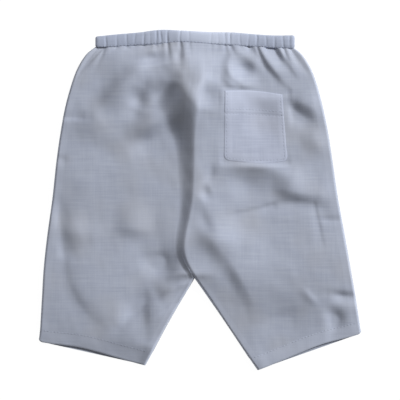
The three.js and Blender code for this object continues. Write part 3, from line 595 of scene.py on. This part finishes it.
# The patch pocket is one piece of the same linen with a wide hem along its mouth. Its other edges
# are turned in and topstitched to the right back, so it is doubled there and looks paler.
POCKET_TOP = np.array([(25, 108.6), (82, 105.2)])
POCKET_LOW = np.array([(24, 40), (87.2, 38.6)])
POCKET_WIDE, POCKET_DEEP = 60, 68.6  # the width is that halfway down
POCKET_HEM = 22
POCKET_TURNING = 6.5  # width of the turned-in edges
POCKET_CORNER = 5
POCKET_BOW = 2
POCKET_CLOTH = 0.4
POCKET_OFF = 0.46  # height of its single cloth's face over the seat
POCKET_COLUMNS, POCKET_ROWS = 78, 84
EDGE_ROW = 2.2  # how far in from the edges the stitches run, which draw the cloth down there


def seat_height(x, y):
    """The right back's upper face at a point in plan, searched for on its own rows."""
    # A leg is shorter than 400 mm, so each step falls a little short and the search settles.
    down = np.full_like(x, 0.5)
    for _ in range(40):
        outer, inner = leg_row(RIGHT_LEG, down)[:2]
        across = np.clip((x - outer[..., 0]) / (inner[..., 0] - outer[..., 0]), 0, 1)
        down = np.clip(down + (mix(outer[..., 1], inner[..., 1], across) - y) / 400, 0, 1)
    return back_top(RIGHT_LEG, RIGHT_OPENING, across, down, 1)


def pocket_patch(u, v):
    """The pocket's face, a little above the seat that it is sewn to, at shares across and down."""
    top = mix(POCKET_TOP[0], POCKET_TOP[1], u[:, None])
    low = mix(POCKET_LOW[0], POCKET_LOW[1], u[:, None])
    bow = POCKET_BOW * np.sin(np.pi * u)
    from_side = np.minimum(u, 1 - u) * (POCKET_LOW[1, 0] - POCKET_LOW[0, 0])
    corner = POCKET_CORNER * (1 - roll(from_side, POCKET_CORNER))
    x = mix(top[:, 0], low[:, 0], v)
    y = mix(top[:, 1] + bow, low[:, 1] - bow + corner * smooth((v - 0.8) / 0.2), v)
    depth = POCKET_DEEP * v
    from_edge = np.minimum(from_side, POCKET_DEEP - depth)
    in_hem = 1 - smooth(depth - POCKET_HEM + 0.5)
    turned = 1 - smooth((from_edge - POCKET_TURNING) / 1.5)
    z = seat_height(x, y) + POCKET_OFF + 0.2 * in_hem + 0.08 * turned
    z = z - 0.12 * np.exp(-(((from_edge - EDGE_ROW) / 0.8) ** 2))
    z = z - 0.3 * np.exp(-(((depth - POCKET_HEM) / 0.9) ** 2))
    z = z - 0.35 * (1 - roll(np.minimum(from_edge, depth), 1.4))
    return x, y, z, x, y, np.maximum(0.5 * in_hem, 0.4 * turned)


pocket_linen = linen("pocket_linen", "#b9bfd1", "#afb5c8", "#b6b9c6", "#bcc2d4")
pocket = cloth_sheet("patch_pocket", POCKET_COLUMNS, POCKET_ROWS, pocket_patch, POCKET_CLOTH)
pocket.data.materials.append(pocket_linen)
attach(pocket, "root")
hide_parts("pocket")

# The casing is a strip of linen folded over a 10 mm elastic, which gathers it into small uneven
# pleats. It is sewn to the top of both layers, so it has a puffed back half and a flatter front half.
CASING_ENDS = (-104.5, 94.5)
CASING_ROUND = 3.5  # radius of its ends
CASING_LAP = 0.9  # how far it reaches below its edge's line, over the panels' top edges
CASING_MIDDLE, CASING_TOP = 4.1, 5.9  # heights of the back half's middle and top
CASING_FRONT = 1.35  # height of the front half's middle
PINCH_WIDTH = 0.62 * GATHER_WIDTH


def pinch(x, lift):
    """How far the casing is pinched in at x, at a share lift from its lower to its upper edge."""
    total = np.zeros_like(x)
    for n, (at, deep, _, _) in enumerate(GATHERS):
        bent = at + 0.8 * np.sin(n * 2.4) * (lift - 0.5) + 0.25 * np.sin(5 * lift + n)
        off = (x - bent) / PINCH_WIDTH
        total += deep * (0.75 + 0.25 * np.sin(4 * lift + 1.7 * n)) * np.exp(-off * off)
    return total


def casing_half(is_back):
    def place(u, v):
        x = mix(*CASING_ENDS, u)
        low, top = waist_edge(x)
        turn = 2 * np.pi * v
        lift = (1 - np.cos(turn)) / 2
        end = roll(np.minimum(x - CASING_ENDS[0], CASING_ENDS[1] - x), CASING_ROUND)
        squeeze = pinch(x, lift) * end
        y = mix(low - CASING_LAP, top, lift) - (1 - end) * (lift - 0.5) * 3
        y = y + 0.25 * squeeze * (0.5 - lift)
        upper = np.sin(turn) < 0
        # It is smoother and higher in the middle, and fuller there and to its right end. Its colour is
        # painted paler in the middle too, as a highlight.
        centre = np.exp(-(((x - 8) / 34) ** 2))
        swell = np.abs(np.sin(turn)) ** mix(0.7, 0.5, centre * (1 - lift))
        if is_back:
            middle = CASING_MIDDLE - 0.9 * (1 - end) + 1.3 * centre
            half = np.where(upper, (CASING_TOP - CASING_MIDDLE) * swell, 1.1 * swell) * mix(0.45, 1, end)
            fuller = np.exp(-(((x + 20) / np.where(x < -20, 7, 34)) ** 2)) + smooth((x - 32) / 60)
            face = half + (0.8 * fuller - 0.62 * squeeze) * swell + 0.1 * np.sin(x / 5.3)
            z = middle + np.where(upper, face, -half)
        else:
            z = np.where(upper, CASING_FRONT + 1.2 * swell * end, CASING_FRONT * (1 - swell))
        # The colour's share stands for the doubled strip all along and rises towards the middle as a painted
        # highlight.
        return x, y, z, x * 1.3, turn * 4.4, 0.25 + 0.7 * centre
    return place


# The casing's linen is darker than the legs', and its much paler colour paints the highlight in its middle.
casing_linen = linen("gathered_linen_casing", "#a3abbf", "#99a1b6", "#a2a7b5", "#c8cfe1")
for name, is_back in (("waistband_back", True), ("waistband_front", False)):
    casing = cloth_sheet(name + "_casing", 300, 28, casing_half(is_back), 0)
    tube = bmesh.new()
    tube.from_mesh(casing.data)
    bmesh.ops.remove_doubles(tube, verts=tube.verts, dist=0.001 * MM)
    bmesh.ops.holes_fill(tube, edges=tube.edges, sides=0)
    bmesh.ops.recalc_face_normals(tube, faces=tube.faces)
    tube.to_mesh(casing.data)
    tube.free()
    casing.data.polygons.foreach_set("use_smooth", np.ones(len(casing.data.polygons), bool))
    casing.data.materials.append(casing_linen)
    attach(casing, "root")
    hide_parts(name)

# The stitching is a matt polyester-cotton thread, a shade paler than the cloth: along the casing's
# lower edge, round the pocket, under the pocket's hem and round both leg hems.
STITCH = 2.6
STITCH_EVERY = 3.4
THREAD_THICK = 0.42
TWIST = 0.5
PROUD = 0.08  # height of a stitch's middle over the cloth


def run_of_stitches(name, line):
    """Lays stitches, each a long bead, along a line of points given as x, y and z in millimetres."""
    line = np.asarray(line)
    steps = np.concatenate([[0], np.cumsum(np.linalg.norm(np.diff(line, axis=0), axis=1))])
    count = int(steps[-1] // STITCH_EVERY)
    sewn = bmesh.new()
    for n in range(count):
        here = (n + 0.5) * STITCH_EVERY
        ends = here - STITCH / 2, here + STITCH / 2
        a, b = (np.array([np.interp(end, steps, line[:, k]) for k in range(3)]) for end in ends)
        along = (b - a) / np.linalg.norm(b - a)
        across = np.cross(along, (0, 0, 1))
        across = across / np.linalg.norm(across)
        made = bmesh.ops.create_icosphere(sewn, subdivisions=1, radius=1)["verts"]
        for vert in made:
            s, t, w = vert.co
            round_it = (across * t + np.cross(across, along) * w) * THREAD_THICK / 2
            vert.co = ((a + b) / 2 + along * s * STITCH / 2 + round_it) * MM
    mesh = bpy.data.meshes.new(name)
    sewn.to_mesh(mesh)
    sewn.free()
    mesh.polygons.foreach_set("use_smooth", np.ones(len(mesh.polygons), bool))
    stitches = bpy.data.objects.new(name, mesh)
    bpy.context.scene.collection.objects.link(stitches)
    stitches.data.materials.append(thread)
    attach(stitches, "root")


thread = bpy.data.materials.new("polyester_cotton_thread")
thread.use_nodes = True
thread.node_tree.nodes.clear()
where = add(thread.node_tree, "ShaderNodeTexCoord", {}).outputs["Object"]
twist = add(thread.node_tree, "ShaderNodeTexNoise", {
    "Vector": where, "Scale": 1 / (TWIST * MM),
}).outputs[0]
strand = blended(thread.node_tree, twist, linear("#a3a9ba"), linear("#c0c6d4"))
spun = add(thread.node_tree, "ShaderNodeBsdfPrincipled", {"Base Color": strand, "Roughness": 0.7})
add(thread.node_tree, "ShaderNodeOutputMaterial", {0: spun.outputs[0]})

# The casing's row runs just above its lower edge, on the turn of the tube.
along = np.linspace(0.02, 0.98, 300)
low_turn = 1 - np.arccos(0.8) / (2 * np.pi)
x, y, z = casing_half(True)(along, np.full_like(along, low_turn))[:3]
run_of_stitches("casing_stitches", np.stack([x, y, z + PROUD], 1))

# The pocket's row goes down one side, along the bottom and up the other side. Two rows hold its hem.
HEM_ROWS = (18, 22.6)
inset, reach = EDGE_ROW / POCKET_WIDE, 1 - EDGE_ROW / POCKET_DEEP
rows = {
    "pocket_edge_stitches": (
        np.concatenate([np.full(80, inset), np.linspace(inset, 1 - inset, 80), np.full(80, 1 - inset)]),
        np.concatenate([np.linspace(0.02, reach, 80), np.full(80, reach), np.linspace(reach, 0.02, 80)]),
    ),
}
for n, deep in enumerate(HEM_ROWS):
    level = np.full(80, deep / POCKET_DEEP)
    rows["pocket_hem_stitches_%d" % (n + 1)] = (np.linspace(0.02, 0.98, 80), level)
for name, (u, v) in rows.items():
    x, y, z = pocket_patch(u, v)[:3]
    run_of_stitches(name, np.stack([x, y, z + PROUD], 1))

# One row holds each turned hem.
for hand, leg, opening, side in LEGS:
    across = np.linspace(0.03, 0.97, 160)
    down = np.full_like(across, 1.06)
    x, y = leg_plan(leg, opening, across, down, True)
    z = back_top(leg, opening, across, down, side)
    run_of_stitches("hem_stitches_" + hand, np.stack([x, y, z + PROUD], 1))

# The floor is a plain white surface. One large soft light comes from the right and a little above,
# low enough to rake the folds, a small card beyond the waist lights the casing's top edge, and a
# weak even fill comes from all round. The floor, the lights and the camera are placed in metres.
floor_grid = bmesh.new()
bmesh.ops.create_grid(floor_grid, x_segments=1, y_segments=1, size=3)
floor_mesh = bpy.data.meshes.new("floor")
floor_grid.to_mesh(floor_mesh)
floor_grid.free()
floor = bpy.data.objects.new("floor", floor_mesh)
bpy.context.scene.collection.objects.link(floor)
paper = bpy.data.materials.new("white_paper")
paper.use_nodes = True
paper.node_tree.nodes.clear()
matt = add(paper.node_tree, "ShaderNodeBsdfPrincipled", {
    "Base Color": linear("#505050"), "Roughness": 0.9,
    "Emission Color": linear("#ffffff"), "Emission Strength": 0.97,
})
add(paper.node_tree, "ShaderNodeOutputMaterial", {0: matt.outputs[0]})
floor_mesh.materials.append(paper)

KEY_BEARING = 28
KEY_HEIGHT = 32
KEY_FAR = 7
CARD_AT = (0, 0.92, 0.77)
CARD_TILT = 50
bearing, height = np.radians(KEY_BEARING), np.radians(KEY_HEIGHT)
key_data = bpy.data.lights.new("key", "AREA")
key_data.shape = "DISK"
key_data.size = 1.6
key_data.energy = 505
key_data.color = (0.97, 0.985, 1.0)
key = bpy.data.objects.new("key", key_data)
key_out = KEY_FAR * np.cos(height)
key.location = (key_out * np.cos(bearing), key_out * np.sin(bearing), KEY_FAR * np.sin(height))
key.rotation_euler = (0, np.pi / 2 - height, bearing)
bpy.context.scene.collection.objects.link(key)

top_data = bpy.data.lights.new("top_card", "AREA")
top_data.shape = "DISK"
top_data.size = 0.5
top_data.energy = 2.6
top_card = bpy.data.objects.new("top_card", top_data)
top_card.location = CARD_AT
top_card.rotation_euler = (-np.radians(CARD_TILT), 0, 0)
bpy.context.scene.collection.objects.link(top_card)

world = bpy.data.worlds.new("studio")
world.use_nodes = True
world.node_tree.nodes.clear()
fill = add(world.node_tree, "ShaderNodeBackground", {"Color": (1.0, 0.985, 0.96, 1), "Strength": 0.165})
add(world.node_tree, "ShaderNodeOutputWorld", {0: fill.outputs[0]})
bpy.context.scene.world = world

# The camera looks straight down from far enough that the garment is seen without perspective.
CAMERA_UP = 3.0
FRAME_WIDE = 0.4
SENSOR = 36
camera_data = bpy.data.cameras.new("camera")
camera_data.sensor_width = SENSOR
camera_data.lens = SENSOR * CAMERA_UP / FRAME_WIDE
camera = bpy.data.objects.new("camera", camera_data)
camera.location = (0, 0, CAMERA_UP)
bpy.context.scene.collection.objects.link(camera)
bpy.context.scene.camera = camera
bpy.context.scene.view_settings.view_transform = "Standard"
